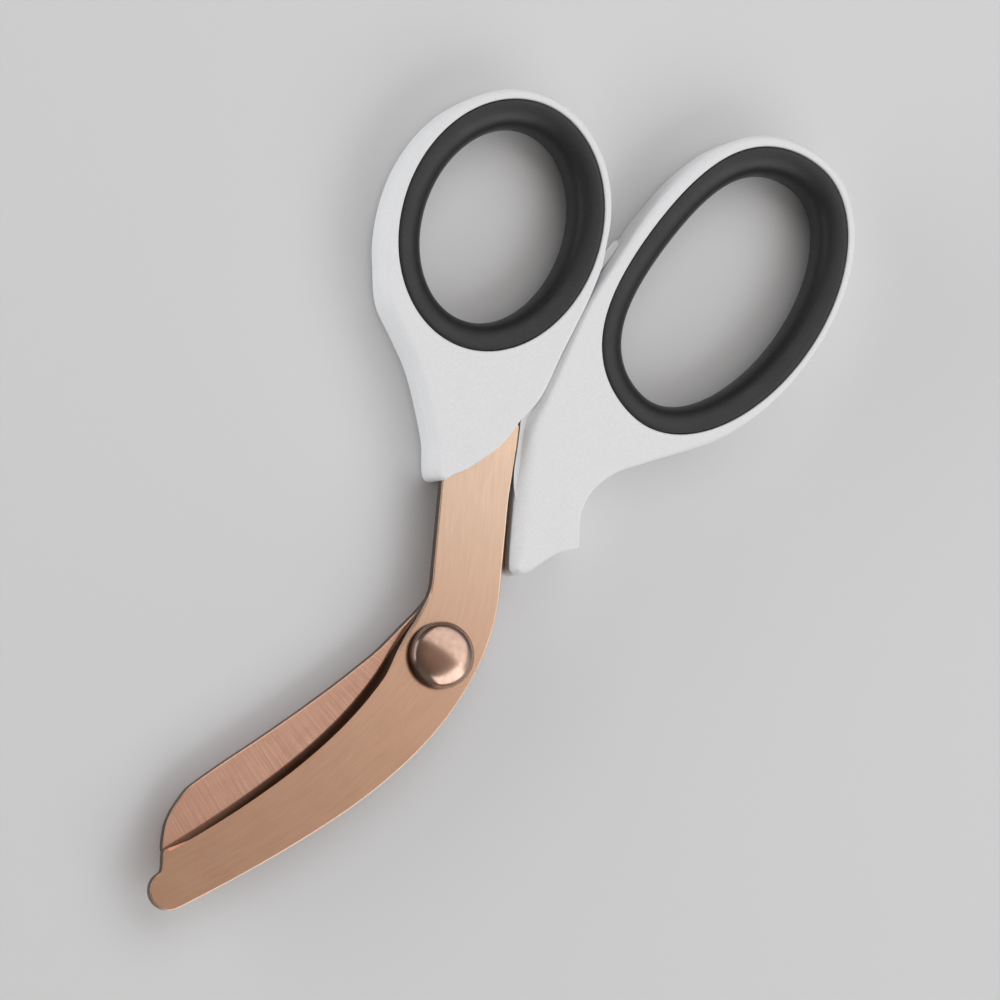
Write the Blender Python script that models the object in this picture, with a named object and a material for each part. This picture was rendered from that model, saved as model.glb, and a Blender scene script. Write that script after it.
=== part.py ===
"""Bandage scissors, closed, lying on their flat side.

Metres. +Z is the pivot axis, +Y runs from the blade tips to the finger bows, and the origin is
the centre of the flat nut under the pivot, on the plane that the scissors rest on. The thumb
bow is at -X and the finger bow at +X.
"""

import math

import bmesh
import bpy
import numpy as np

# Both blades
blade_thickness = 0.0024
blade_gap = 0.0003
blade_length = 0.0713
pivot_heading = math.radians(-4.0)
tip_heading = math.radians(31.0)
sweep_distance = 0.031
edge_land = 0.00025
edge_break = 0.0002
bevel_width = 0.0016

# Lower blade, on the thumb side
heel_half_width = 0.0076
front_cutting_side = 0.0070
front_spine_side = 0.0071
front_tip_cutting_side = 0.0060
front_tip_spine_side = 0.0046
bevel_start = 0.0100
foot_length = 0.0066
foot_radius = 0.0036
foot_aside = 0.0008
neck_lean = math.radians(28.4)
bend_distance = 0.014
neck_cutting_side = 0.0057
neck_spine_side = 0.0075
neck_flare = 0.0009
front_tang_length = 0.0090
front_tang_step = 0.0034

# Upper blade, on the finger side
back_cutting_side = -0.0035
back_spine_side = 0.0136
back_tip_spine_side = 0.0060
back_heel_cutting_side = 0.0066
back_heel_spine_side = 0.0087
back_tip_setback = 0.0066
back_neck_heading = math.radians(-7.0)
back_tang_heading = math.radians(2.0)
back_neck_half_width = 0.0057
back_tang_half_width = 0.0038
back_tang_nose = 0.0040

# Pivot
shank_diameter = 0.0050
shank_step = 0.0004
head_diameter = 0.0124
head_rim = 0.0005
head_dome = 0.0019
washer_diameter = 0.0118
washer_thickness = 0.0004
nut_diameter = 0.0112
nut_floor = 0.0006
nut_chamfer = 0.0004

# Handles
handle_thickness = 0.0110
edge_round = 0.0026
seam_round = 0.0013
lip_round = 0.0007
handle_gap = 0.0006
neck_gap = 0.0015
seam = ((-0.0110, 0.0500), (-0.0122, 0.0600), (-0.0134, 0.0705))
seam_end = -0.0144
lug_start = 0.0786
lug_length = 0.0046
lug_width = 0.0009
slot_width = 0.0009

# Points down the outer side of the thumb handle to its tip
thumb_flank = ((-0.0452, 0.0480), (-0.0385, 0.0441), (-0.0332, 0.0408), (-0.0237, 0.0328))
thumb_tip = ((-0.0196, 0.0273), (-0.0190, 0.0261), (-0.0181, 0.0257))

# The thumb handle's edge across the neck: how far back from the pivot, and beside the path
lip_stops = (
    (0.0335, -0.0045),
    (0.0350, -0.0018),
    (0.0370, 0.0008),
    (0.0392, 0.0034),
    (0.0418, 0.0056),
    (0.0448, 0.0074),
)

# The finger handle's nose beside the neck, and points from the nose up its outer side
nose_reach = 0.0185
finger_guard = (
    (0.0006, -0.0010),
    (0.0021, 0.0000),
    (0.0028, 0.0034),
    (0.0052, 0.0066),
    (0.0080, 0.0088),
    (0.0088, 0.0099),
    (0.0081, 0.0112),
    (0.0058, 0.0154),
    (0.0052, 0.0198),
    (0.0068, 0.0250),
    (0.0106, 0.0302),
)

# Bows, with stops of degrees round the bow and the rim's width there
thumb_hole_length = 0.0378
thumb_hole_width = 0.0279
thumb_hole_lean = math.radians(10.5)
thumb_hole_start = 0.0537
thumb_web = 0.0017
thumb_rim = ((0, 0.0012), (30, 0.0015), (75, 0.0016), (110, 0.0020), (195, 0.0020), (220, 0.0026))
finger_hole_length = 0.0507
finger_hole_width = 0.0280
finger_hole_lean = math.radians(-4.0)
finger_hole_fullness = 0.25
finger_hole_start = 0.0632
finger_web = 0.0026
finger_rim = ((-60, 0.0030), (-30, 0.0017), (0, 0.0012), (60, 0.0015), (120, 0.0022), (190, 0.0023))

# Liners
liner_width = 0.0054
liner_height = 0.0100
groove_height = 0.0030
groove_depth = 0.0012

# How near the middle of a tang's end comes to the seat of its bow's liner
front_tang_wall = 0.0045
back_tang_wall = 0.0090

# Fits and fineness
clearance = 0.0003
outline_spacing = 0.0022
round_steps = 3
liner_steps = 60
turned_steps = 40

# Heights that follow from the stack on the pivot
middle = handle_thickness / 2
front_low = middle + blade_gap / 2
front_high = front_low + blade_thickness
back_high = middle - blade_gap / 2
back_low = back_high - blade_thickness
washer_low = front_high + clearance
head_low = washer_low + washer_thickness + clearance
nut_height = back_low - clearance


def material(name, colour, roughness, metallic):
    made = bpy.data.materials.new(name)
    made.use_nodes = True
    shader = made.node_tree.nodes["Principled BSDF"]
    shader.inputs["Base Color"].default_value = (*colour, 1.0)
    shader.inputs["Roughness"].default_value = roughness
    shader.inputs["Metallic"].default_value = metallic
    return made


def skin(name, loops, ring=False):
    """A solid skinned over loops of equal counts: capped at both ends, or a closed ring."""
    solid = bmesh.new()
    rows = [[solid.verts.new(point) for point in loop] for loop in loops]
    pairs = list(zip(rows, rows[1:]))
    if ring:
        pairs.append((rows[-1], rows[0]))
    for low, high in pairs:
        for i in range(len(low)):
            j = (i + 1) % len(low)
            solid.faces.new((low[i], low[j], high[j], high[i]))
    if not ring:
        solid.faces.new(reversed(rows[0]))
        solid.faces.new(rows[-1])
    bmesh.ops.recalc_face_normals(solid, faces=solid.faces)
    mesh = bpy.data.meshes.new(name)
    solid.to_mesh(mesh)
    solid.free()
    obj = bpy.data.objects.new(name, mesh)
    bpy.context.scene.collection.objects.link(obj)
    return obj


def finish(obj, look, half, sharp=math.radians(35)):
    """Gives the piece its material and its half of the scissors, whose origin is on the pivot."""
    obj.data.materials.append(look)
    obj.data.shade_smooth()
    obj.data.set_sharp_from_angle(angle=sharp)
    obj.parent = half


def cut(target, cutter):
    cutter.hide_render = True
    cutter.display_type = "WIRE"
    boolean = target.modifiers.new("cut by " + cutter.name, "BOOLEAN")
    boolean.operation = "DIFFERENCE"
    boolean.object = cutter


def at_height(outline, z):
    return [(x, y, z) for x, y in outline]


def circle(radius):
    turns = [2 * math.pi * k / turned_steps for k in range(turned_steps)]
    return [(radius * math.cos(t), radius * math.sin(t)) for t in turns]


def turned(name, profile, ring=False):
    """A solid of revolution about the pivot, from (radius, height) points."""
    return skin(name, [at_height(circle(radius), z) for radius, z in profile], ring)


def normals(outline):
    """Unit normals that point out of an anticlockwise outline."""
    points = np.asarray(outline, float)
    along = np.roll(points, -1, axis=0) - np.roll(points, 1, axis=0)
    along /= np.linalg.norm(along, axis=1)[:, None]
    return np.column_stack((along[:, 1], -along[:, 0]))


def offset(outline, distance):
    moved = np.asarray(outline, float) + normals(outline) * np.reshape(distance, (-1, 1))
    return [tuple(point) for point in moved]


def smooth_loop(points, spacing):
    """A closed centripetal Catmull-Rom curve through the points, read about every spacing."""
    points = [np.array(point, float) for point in points]
    curve = []
    for k in range(len(points)):
        p0, p1, p2, p3 = (points[(k + i - 1) % len(points)] for i in range(4))
        t1 = math.sqrt(np.linalg.norm(p1 - p0))
        t2 = t1 + math.sqrt(np.linalg.norm(p2 - p1))
        t3 = t2 + math.sqrt(np.linalg.norm(p3 - p2))
        steps = max(1, round(np.linalg.norm(p2 - p1) / spacing))
        for step in range(steps):
            t = t1 + (t2 - t1) * step / steps
            a1 = (t1 - t) / t1 * p0 + t / t1 * p1
            a2 = (t2 - t) / (t2 - t1) * p1 + (t - t1) / (t2 - t1) * p2
            a3 = (t3 - t) / (t3 - t2) * p2 + (t - t2) / (t3 - t2) * p3
            b1 = (t2 - t) / t2 * a1 + t / t2 * a2
            b2 = (t3 - t) / (t3 - t1) * a2 + (t - t1) / (t3 - t1) * a3
            curve.append(tuple((t2 - t) / (t2 - t1) * b1 + (t - t1) / (t2 - t1) * b2))
    return curve


def room_inside(outline):
    """At each point, the radius of the largest circle inside the outline that touches it there."""
    points = np.asarray(outline, float)
    between = points[None, :, :] - points[:, None, :]
    inward = np.einsum("ijk,ik->ij", between, -normals(outline))
    radius = (between**2).sum(axis=2) / np.maximum(2 * inward, 1e-9)
    return np.where(inward > 1e-9, radius, np.inf).min(axis=1)


def moulded(name, groups):
    """A handle between the rest plane and its thickness. Its outline runs through groups of
    (points, edge radius), and no edge is rounder than the room inside the outline allows."""
    stops = [(*point, radius) for points, radius in groups for point in points]
    curve = smooth_loop(stops, outline_spacing)
    outline = [row[:2] for row in curve]
    radius = np.clip([row[2] for row in curve], lip_round, edge_round)
    radius = np.minimum(radius, 0.8 * room_inside(outline))
    for _ in range(3):
        neighbours = (np.roll(radius, 1) + radius + np.roll(radius, -1)) / 3
        radius = np.minimum(radius, neighbours)
    lower = []
    upper = []
    for k in range(round_steps + 1):
        t = math.pi / 2 * k / round_steps
        inset = offset(outline, -radius * (1 - math.sin(t)))
        drop = radius * (1 - math.cos(t))
        lower.append([(x, y, d) for (x, y), d in zip(inset, drop)])
        upper.append([(x, y, handle_thickness - d) for (x, y), d in zip(inset, drop)])
    return skin(name, lower + upper[::-1])


def oval(length, width, lean, centre, fullness, steps):
    """A leaning oval. Fullness squares off its -X side."""
    points = []
    for k in range(steps):
        t = 2 * math.pi * k / steps
        x = width / 2 * math.cos(t)
        y = length / 2 * math.sin(t)
        if x < 0:
            x *= 1 + fullness * math.sin(t) ** 2
        across = x * math.cos(lean) - y * math.sin(lean)
        up = x * math.sin(lean) + y * math.cos(lean)
        points.append((centre[0] + across, centre[1] + up))
    return points


def thumb_oval(out, steps=liner_steps):
    """An oval this far out from the edge of the thumb hole."""
    length = thumb_hole_length + 2 * out
    width = thumb_hole_width + 2 * out
    centre = (
        seam_end - thumb_web - liner_width - thumb_hole_width / 2,
        thumb_hole_start + thumb_hole_length / 2,
    )
    return oval(length, width, thumb_hole_lean, centre, 0.0, steps)


def finger_oval(out, steps=liner_steps):
    """An oval this far out from the edge of the finger hole."""
    length = finger_hole_length + 2 * out
    width = finger_hole_width + 2 * out
    centre = (
        seam_end + handle_gap + finger_web + liner_width + finger_hole_width / 2,
        finger_hole_start + finger_hole_length / 2,
    )
    return oval(length, width, finger_hole_lean, centre, finger_hole_fullness, steps)


class Path:
    """The middle line of a blade, worked out from its headings. Heading 0 runs towards -Y, a
    positive one turns towards -X, and distances run from the pivot towards the tip."""

    def __init__(self, heading, start, end, step=0.0005):
        self.heading = heading
        self.distances = np.arange(math.floor(start / step), math.ceil(end / step) + 1) * step
        headings = np.array([heading(d + step / 2) for d in self.distances])
        moves = np.column_stack((-np.sin(headings), -np.cos(headings))) * step
        points = np.vstack(([0.0, 0.0], np.cumsum(moves, axis=0)[:-1]))
        self.points = points - points[np.argmin(np.abs(self.distances))]

    def point(self, distance, aside):
        """The point this far along the path and this far to its +X side."""
        x = np.interp(distance, self.distances, self.points[:, 0])
        y = np.interp(distance, self.distances, self.points[:, 1])
        h = self.heading(distance)
        return (float(x + aside * math.cos(h)), float(y - aside * math.sin(h)))


def blade_heading(distance):
    return tip_heading - (tip_heading - pivot_heading) * math.exp(-distance / sweep_distance)


def front_heading(distance):
    if distance >= 0:
        return blade_heading(distance)
    return pivot_heading - (neck_lean + pivot_heading) * min(1.0, -distance / bend_distance)


def back_heading(distance):
    if distance >= 0:
        return blade_heading(distance)
    stops = (-2.0 * bend_distance, -bend_distance, 0.0)
    headings = (back_tang_heading, back_neck_heading, pivot_heading)
    return float(np.interp(distance, stops, headings))


def tang_reach(path, ovals, wall):
    """How far back from the pivot a tang goes before it is this near to the seat of a liner."""
    seat = np.array(ovals(liner_width))
    nearest = [np.linalg.norm(seat - point, axis=1).min() for point in path.points]
    return -float(path.distances[np.array(nearest) < wall].max())


front_path = Path(front_heading, -thumb_hole_start - thumb_hole_length / 2, blade_length)
back_path = Path(back_heading, -finger_hole_start - finger_hole_length / 2, blade_length)
front_tang_reach = tang_reach(front_path, thumb_oval, front_tang_wall)
front_tang_shoulder = front_tang_reach - front_tang_length
back_tang_reach = tang_reach(back_path, finger_oval, back_tang_wall)
foot_start = blade_length - foot_length
back_end = blade_length - back_tip_setback


def eased(rows, distance):
    """Every later column of the rows at this distance, on a curve that never swings past them."""
    stops = np.array([row[0] for row in rows])
    values = np.array([row[1:] for row in rows])
    secants = np.diff(values, axis=0) / np.diff(stops)[:, None]
    before = secants[:-1]
    after = secants[1:]
    same_way = before * after > 0
    shared = np.where(same_way, 2 * before * after / np.where(same_way, before + after, 1.0), 0.0)
    slopes = np.vstack((secants[:1], shared, secants[-1:]))
    k = int(np.clip(np.searchsorted(stops, distance) - 1, 0, len(rows) - 2))
    span = stops[k + 1] - stops[k]
    t = min(max((distance - stops[k]) / span, 0.0), 1.0)
    near = (1 + 2 * t) * (1 - t) ** 2 * values[k] + t * (1 - t) ** 2 * span * slopes[k]
    far = t * t * (3 - 2 * t) * values[k + 1] + t * t * (t - 1) * span * slopes[k + 1]
    return near + far


def front_sides(distance):
    """Where the lower blade's cutting side and spine lie beside its path."""
    shoulder = -front_tang_shoulder
    rows = (
        (-front_tang_reach, -0.6 * neck_cutting_side, 0.5 * neck_spine_side),
        (shoulder - front_tang_step, -neck_cutting_side, 0.7 * neck_spine_side),
        (shoulder, -neck_cutting_side, neck_spine_side + neck_flare),
        (shoulder / 2 - bend_distance / 2, -neck_cutting_side, neck_spine_side),
        (-bend_distance, -neck_cutting_side, neck_spine_side),
        (0.0, -heel_half_width, heel_half_width),
        (bevel_start, -0.5 * (heel_half_width + front_cutting_side), heel_half_width),
        (0.34 * blade_length, -front_cutting_side, front_spine_side),
        (0.62 * blade_length, -0.94 * front_cutting_side, 0.82 * front_spine_side),
        (foot_start, -front_tip_cutting_side, front_tip_spine_side),
    )
    return eased(rows, distance)


def front_bevel(distance):
    """How wide the ground bevel is, and how much wall is left under it."""
    wall = blade_thickness - edge_break
    rows = (
        (-front_tang_reach, edge_break, wall),
        (0.3 * bevel_start, edge_break, wall),
        (bevel_start, 0.5 * bevel_width, edge_land),
        (0.34 * blade_length, 0.75 * bevel_width, edge_land),
        (0.52 * blade_length, bevel_width, edge_land),
        (0.70 * blade_length, 0.65 * bevel_width, edge_land),
        (foot_start, edge_break, edge_land),
    )
    k = max(i for i in range(len(rows) - 1) if rows[i][0] <= max(distance, rows[0][0]))
    share = min(1.0, (distance - rows[k][0]) / (rows[k + 1][0] - rows[k][0]))
    return [a + (b - a) * share for a, b in zip(rows[k][1:], rows[k + 1][1:])]


def section(path, distance, cutting, spine, bevel, wall, inner, outer):
    """One cross-section of a blade: inner face, spine wall, outer face, bevel and edge wall."""
    way = math.copysign(1.0, outer - inner)
    inward = math.copysign(1.0, spine - cutting)
    corners = (
        (cutting, inner),
        (spine, inner),
        (spine, outer),
        (cutting + inward * bevel, outer),
        (cutting, inner + way * wall),
    )
    return [(*path.point(distance, aside), z) for aside, z in corners]


def front_tang_stations():
    step = -front_tang_shoulder - front_tang_step
    stations = [-front_tang_reach, 0.5 * (step - front_tang_reach)]
    stations += [step, step + 0.4 * front_tang_step, step + 0.7 * front_tang_step]
    return stations + list(np.linspace(-front_tang_shoulder, -bend_distance, 6))


def front_blade_sections():
    """The lower blade: tang, neck, ground edge, and the blunt foot that slides under a bandage."""
    foot_centre = blade_length - foot_radius
    stations = front_tang_stations()
    stations += list(np.linspace(-bend_distance, bevel_start, 10))[1:]
    stations += list(np.linspace(bevel_start, foot_start, 15))[1:]
    sections = [
        section(front_path, s, *front_sides(s), *front_bevel(s), front_low, front_high)
        for s in stations
    ]
    cutting, spine = front_sides(foot_start)
    wall = blade_thickness - edge_break
    for share in (0.3, 0.55, 0.8, 1.0):
        s = foot_start + (foot_centre - foot_start) * share
        hollow = math.sin(math.pi / 2 * share) ** 2
        sides = (
            cutting + (foot_aside - foot_radius - cutting) * hollow,
            spine + (foot_aside + foot_radius - spine) * share,
        )
        sections.append(
            section(front_path, s, *sides, edge_break, wall, front_low, front_high)
        )
    for k in range(1, 8):
        t = math.radians(12) * k
        s = foot_centre + foot_radius * math.sin(t)
        half = foot_radius * math.cos(t)
        sides = (foot_aside - half, foot_aside + half)
        sections.append(
            section(front_path, s, *sides, edge_break, wall, front_low, front_high)
        )
    return sections


def back_sides(distance):
    """Where the upper blade's cutting side and spine lie beside its path."""
    rows = (
        (-back_tang_reach, 0.65 * back_tang_half_width, -0.65 * back_tang_half_width),
        (-back_tang_reach + back_tang_nose, back_tang_half_width, -back_tang_half_width),
        (-0.7 * back_tang_reach, back_tang_half_width, -back_tang_half_width),
        (-2.0 * bend_distance, back_tang_half_width, -1.2 * back_tang_half_width),
        (-1.4 * bend_distance, back_tang_half_width, -back_neck_half_width),
        (-0.6 * bend_distance, back_neck_half_width, -1.15 * back_neck_half_width),
        (0.0, back_heel_cutting_side, -back_heel_spine_side),
        (0.08 * blade_length, 0.6 * back_heel_cutting_side, -0.72 * back_spine_side),
        (0.18 * blade_length, back_cutting_side, -0.82 * back_spine_side),
        (0.35 * blade_length, back_cutting_side, -0.93 * back_spine_side),
        (0.50 * blade_length, back_cutting_side, -0.98 * back_spine_side),
        (0.64 * blade_length, back_cutting_side, -back_spine_side),
        (0.75 * blade_length, back_cutting_side, -0.98 * back_spine_side),
        (0.81 * blade_length, back_cutting_side, -0.88 * back_spine_side),
        (0.86 * blade_length, back_cutting_side, -0.73 * back_spine_side),
        (back_end, back_cutting_side, -back_tip_spine_side),
    )
    return eased(rows, distance)


def back_tang_stations():
    stations = [-back_tang_reach, -back_tang_reach + 0.5 * back_tang_nose]
    return stations + list(np.linspace(-back_tang_reach + back_tang_nose, -bend_distance, 9))


def back_blade_sections():
    """The upper blade: tang, neck, and a broad plate whose edge passes under the lower blade."""
    wall = blade_thickness - edge_break
    stations = back_tang_stations()
    stations += list(np.linspace(-bend_distance, 0.25 * blade_length, 9))[1:]
    stations += list(np.linspace(0.25 * blade_length, 0.7 * blade_length, 9))[1:]
    stations += list(np.linspace(0.7 * blade_length, back_end, 11))[1:]
    sections = []
    for s in stations:
        ground = min(max((s - 0.15 * blade_length) / (0.1 * blade_length), 0.0), 1.0)
        bevel = edge_break + (bevel_width - edge_break) * ground
        under = wall + (edge_land - wall) * ground
        sections.append(
            section(back_path, s, *back_sides(s), bevel, under, back_high, back_low)
        )
    return sections


def tang_pocket(name, path, sides, stations, heights):
    """A cutter that clears a tang by the same gap all round."""
    low, high = heights[0] - clearance, heights[1] + clearance
    loops = []
    for s in [stations[0] - clearance, *stations]:
        left, right = sorted(sides(s))
        left -= clearance
        right += clearance
        corners = ((left, low), (right, low), (right, high), (left, high))
        loops.append([(*path.point(s, aside), z) for aside, z in corners])
    return skin(name, loops)


def bow(ovals, rim, first, last):
    """Outline points round a bow, every 12 degrees or so between two angles in degrees."""
    seat = ovals(liner_width, 360)
    stops, widths = zip(*rim)
    points = []
    for angle in np.linspace(first, last, round((last - first) / 12) + 1):
        width = float(np.interp(angle, stops, widths))
        points.append(offset(seat, width)[round(angle) % 360])
    return points


def thumb_handle_outline():
    lip = [front_path.point(-reach, aside) for reach, aside in lip_stops]
    seam_side = [(x - handle_gap / 2, y) for x, y in seam]
    finger_edge = seam_end + handle_gap
    slot = finger_edge - slot_width
    back = slot - lug_width
    lug = [
        (slot, lug_start),
        (slot, lug_start + 0.50 * lug_length),
        (finger_edge - clearance, lug_start + 0.85 * lug_length),
        (finger_edge - clearance - 0.5 * lug_width, lug_start + lug_length),
        (back, lug_start + 0.80 * lug_length),
        (back - 0.2 * lug_width, lug_start + 0.55 * lug_length),
    ]
    return (
        (lip, lip_round),
        (seam_side, seam_round),
        (lug, lip_round),
        (bow(thumb_oval, thumb_rim, 18, 218), edge_round),
        (thumb_flank, edge_round),
        (thumb_tip, lip_round),
    )


def finger_handle_outline():
    beside_neck = neck_spine_side + neck_gap
    nose = front_path.point(-nose_reach, beside_neck)
    guard = [(nose[0] + x, nose[1] + y) for x, y in finger_guard]
    seam_side = [(x + handle_gap / 2, y) for x, y in reversed(seam)]
    lip_end = lip_stops[-1][0]
    neck_side = [
        front_path.point(-lip_end, beside_neck + neck_flare),
        front_path.point(-0.5 * (lip_end + nose_reach), beside_neck),
        front_path.point(-nose_reach - edge_round, beside_neck),
    ]
    return (
        (guard, seam_round),
        (bow(finger_oval, finger_rim, -55, 190), edge_round),
        (seam_side, edge_round),
        (neck_side, edge_round),
        ([nose], lip_round),
    )


def liner_seat(name, ovals):
    """A cutter for the opening that a liner fills, with a tongue round it that holds the liner."""
    wide = liner_width + clearance
    narrow = wide - groove_depth
    tongue = groove_height / 2 - clearance
    profile = (
        (wide, -clearance),
        (wide, middle - tongue),
        (narrow, middle - tongue),
        (narrow, middle + tongue),
        (wide, middle + tongue),
        (wide, handle_thickness + clearance),
    )
    return skin(name, [at_height(ovals(out), z) for out, z in profile])


def liner(name, ovals):
    """A soft ring that swells into the opening, with a groove for the handle's tongue."""
    profile = []
    for k in range(9):
        t = math.pi * (k / 8 - 0.5)
        height = middle + liner_height / 2 * math.sin(t)
        profile.append((liner_width * (1 - math.cos(t)), height))
    half = groove_height / 2
    floor = liner_width - groove_depth
    profile += [(liner_width, middle + half), (floor, middle + half)]
    profile += [(floor, middle - half), (liner_width, middle - half)]
    return skin(name, [at_height(ovals(out), z) for out, z in profile], ring=True)


def pivot_screw():
    """A shank closed into the nut, and a domed head with a thin rim."""
    shank = shank_diameter / 2
    rim = head_diameter / 2
    foot = nut_floor + clearance
    profile = [
        (shank - shank_step, foot),
        (shank, foot + shank_step),
        (shank, head_low),
        (rim, head_low),
        (rim, head_low + head_rim),
    ]
    for k in range(1, 7):
        t = math.radians(14) * k
        profile.append(
            (rim * math.cos(t), head_low + head_rim + head_dome * math.sin(t))
        )
    return turned("pivot_screw", profile)


def pivot_nut():
    """A flat round nut with a blind bore for the shank."""
    rim = nut_diameter / 2
    bore = shank_diameter / 2 + clearance
    profile = (
        (rim - nut_chamfer, 0.0),
        (rim, nut_chamfer),
        (rim, nut_height),
        (bore, nut_height),
        (bore, nut_floor),
    )
    return turned("pivot_nut", profile)


def friction_washer():
    inner = shank_diameter / 2 + clearance
    outer = washer_diameter / 2
    high = washer_low + washer_thickness
    profile = ((inner, washer_low), (outer, washer_low), (outer, high), (inner, high))
    return turned("friction_washer", profile, ring=True)


def half_of_scissors(name):
    empty = bpy.data.objects.new(name, None)
    bpy.context.scene.collection.objects.link(empty)
    return empty


def main():
    for obj in list(bpy.data.objects):
        bpy.data.objects.remove(obj)

    steel = material("coppered_steel", (0.62, 0.40, 0.28), 0.34, 1.0)
    polished = material("polished_copper", (0.55, 0.34, 0.26), 0.16, 1.0)
    plastic = material("pale_plastic", (0.72, 0.72, 0.73), 0.42, 0.0)
    rubber = material("dark_rubber", (0.045, 0.045, 0.047), 0.62, 0.0)

    finger_half = half_of_scissors("finger_half")
    thumb_half = half_of_scissors("thumb_half")

    bore = turned(
        "blade_bore",
        [(shank_diameter / 2 + clearance, z) for z in (back_low - 0.001, front_high + 0.001)],
    )
    front_blade = skin("front_blade", front_blade_sections())
    cut(front_blade, bore)
    finish(front_blade, steel, thumb_half)
    back_blade = skin("back_blade", back_blade_sections())
    cut(back_blade, bore)
    finish(back_blade, steel, finger_half)

    thumb_handle = moulded("thumb_handle", thumb_handle_outline())
    cut(thumb_handle, liner_seat("thumb_liner_seat", thumb_oval))
    stations = front_tang_stations()
    heights = (front_low, front_high)
    cut(
        thumb_handle,
        tang_pocket("front_tang_pocket", front_path, front_sides, stations, heights),
    )
    finish(thumb_handle, plastic, thumb_half)

    finger_handle = moulded("finger_handle", finger_handle_outline())
    cut(finger_handle, liner_seat("finger_liner_seat", finger_oval))
    stations = back_tang_stations()
    heights = (back_low, back_high)
    cut(finger_handle, tang_pocket("back_tang_pocket", back_path, back_sides, stations, heights))
    finish(finger_handle, plastic, finger_half)

    finish(liner("thumb_ring_grip", thumb_oval), rubber, thumb_half)
    finish(liner("finger_ring_grip", finger_oval), rubber, finger_half)

    finish(pivot_screw(), polished, finger_half)
    finish(pivot_nut(), steel, finger_half)
    finish(friction_washer(), steel, finger_half)


main()
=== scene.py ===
"""Bandage scissors: the finished look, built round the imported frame.

Lengths in the builders are in millimetres in the frame's own axes, and mesh_piece turns them
into metres. Path coordinates are the distance from the pivot towards the tip, and the distance
beside the blade's middle line, positive towards +X.
"""

import math

import bmesh
import bpy
import numpy as np
from mathutils import Matrix, Vector
from mathutils.geometry import delaunay_2d_cdt


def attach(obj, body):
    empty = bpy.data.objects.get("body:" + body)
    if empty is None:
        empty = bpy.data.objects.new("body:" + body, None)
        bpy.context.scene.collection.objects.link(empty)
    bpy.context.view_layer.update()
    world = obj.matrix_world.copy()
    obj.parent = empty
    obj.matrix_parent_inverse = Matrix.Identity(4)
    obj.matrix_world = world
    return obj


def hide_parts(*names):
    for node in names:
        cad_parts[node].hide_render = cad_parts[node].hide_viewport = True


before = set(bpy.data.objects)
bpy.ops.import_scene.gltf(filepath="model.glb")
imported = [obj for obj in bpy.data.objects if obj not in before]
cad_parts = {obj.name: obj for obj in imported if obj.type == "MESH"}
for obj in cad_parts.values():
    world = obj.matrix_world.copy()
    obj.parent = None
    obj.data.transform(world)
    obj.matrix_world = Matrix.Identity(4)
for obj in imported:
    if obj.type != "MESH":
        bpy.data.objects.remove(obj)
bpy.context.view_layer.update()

MM = 0.001
SHARP = math.radians(34.0)

# Heights of the handles, the blades and what is stacked on them at the pivot
THICK = 11.0
MIDDLE = 5.5
FRONT_LOW, FRONT_HIGH = 5.65, 8.05
BACK_LOW, BACK_HIGH = 2.95, 5.35
WASHER_LOW, WASHER_HIGH = 8.35, 8.75
HEAD_LOW = 9.05

# Pivot
BORE_RADIUS = 2.8
TURN_STEPS = 160

# Blades
BLADE_LENGTH = 71.3
PIVOT_HEADING = math.radians(-4.0)
TIP_HEADING = math.radians(31.0)
SWEEP = 31.0
NECK_LEAN = math.radians(28.4)
BEND = 14.0
BACK_NECK_HEADING = math.radians(-7.0)
BACK_TANG_HEADING = math.radians(2.0)
FOOT_START = 64.7
FOOT_RADIUS = 3.6
FOOT_ASIDE = 0.8
FRONT_TANG = 53.0
FRONT_SHOULDER = 44.0
TANG_STEP = 3.4
BACK_TANG = 50.5
EDGE = 0.18
LAND = 0.25

# Handles. The seam and the fin are (x, y), and the ledge is in the lower blade's path coordinates
TANG_GAP = 0.1
TONGUE_HALF = 1.2
GROOVE_HALF = 1.5
LINER_HALF = 4.9
OUTLINE_SPACING = 0.5
LATTICE_SPACING = 1.5
SEAM = ((-11.0, 50.0), (-12.2, 60.0), (-13.4, 70.5))
HANDLE_GAP = 0.14
FIN = (
    (-15.6, 77.0), (-14.85, 79.4), (-14.62, 81.2), (-14.5, 82.9), (-14.32, 84.2), (-14.0, 84.6),
    (-13.72, 84.2), (-13.70, 82.5), (-13.76, 80.9), (-13.9, 78.8), (-14.3, 76.8), (-15.2, 75.4),
)
LEDGE = (
    (-49.3, 11.2), (-48.2, 10.2), (-46.8, 9.25), (-45.4, 8.56), (-44.0, 8.5), (-41.0, 8.4),
    (-38.5, 8.26), (-36.5, 8.14), (-34.5, 8.2), (-32.5, 8.5), (-30.5, 9.3), (-32.0, 10.4),
    (-38.0, 10.4), (-44.0, 10.6), (-48.5, 12.0),
)

# Studio: each lamp's name, place, aim, width, height and power
LAMP_COLOUR = (0.98, 1.0, 1.03)
LAMPS = (
    ("key", (0.15, 0.85, 0.85), (0.15, 0.85, 0.0), 1.8, 1.25, 7.8),
    ("right", (0.95, -0.35, 0.85), (0.0, 0.03, 0.0), 1.3, 0.9, 6.4),
    ("left", (-0.92, -0.36, 0.36), (0.0, 0.03, 0.0), 0.9, 0.55, 1.4),
    ("low", (-0.92, -0.36, 0.17), (0.0, 0.03, 0.08), 1.5, 0.3, 5.0),
)
# The room's shades from the floor up
ROOM_SHADES = (
    (0.0, (0.40, 0.40, 0.40)),
    (0.45, (0.70, 0.70, 0.70)),
    (0.70, (0.68, 0.67, 0.66)),
    (0.97, (0.37, 0.305, 0.26)),
)
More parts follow.
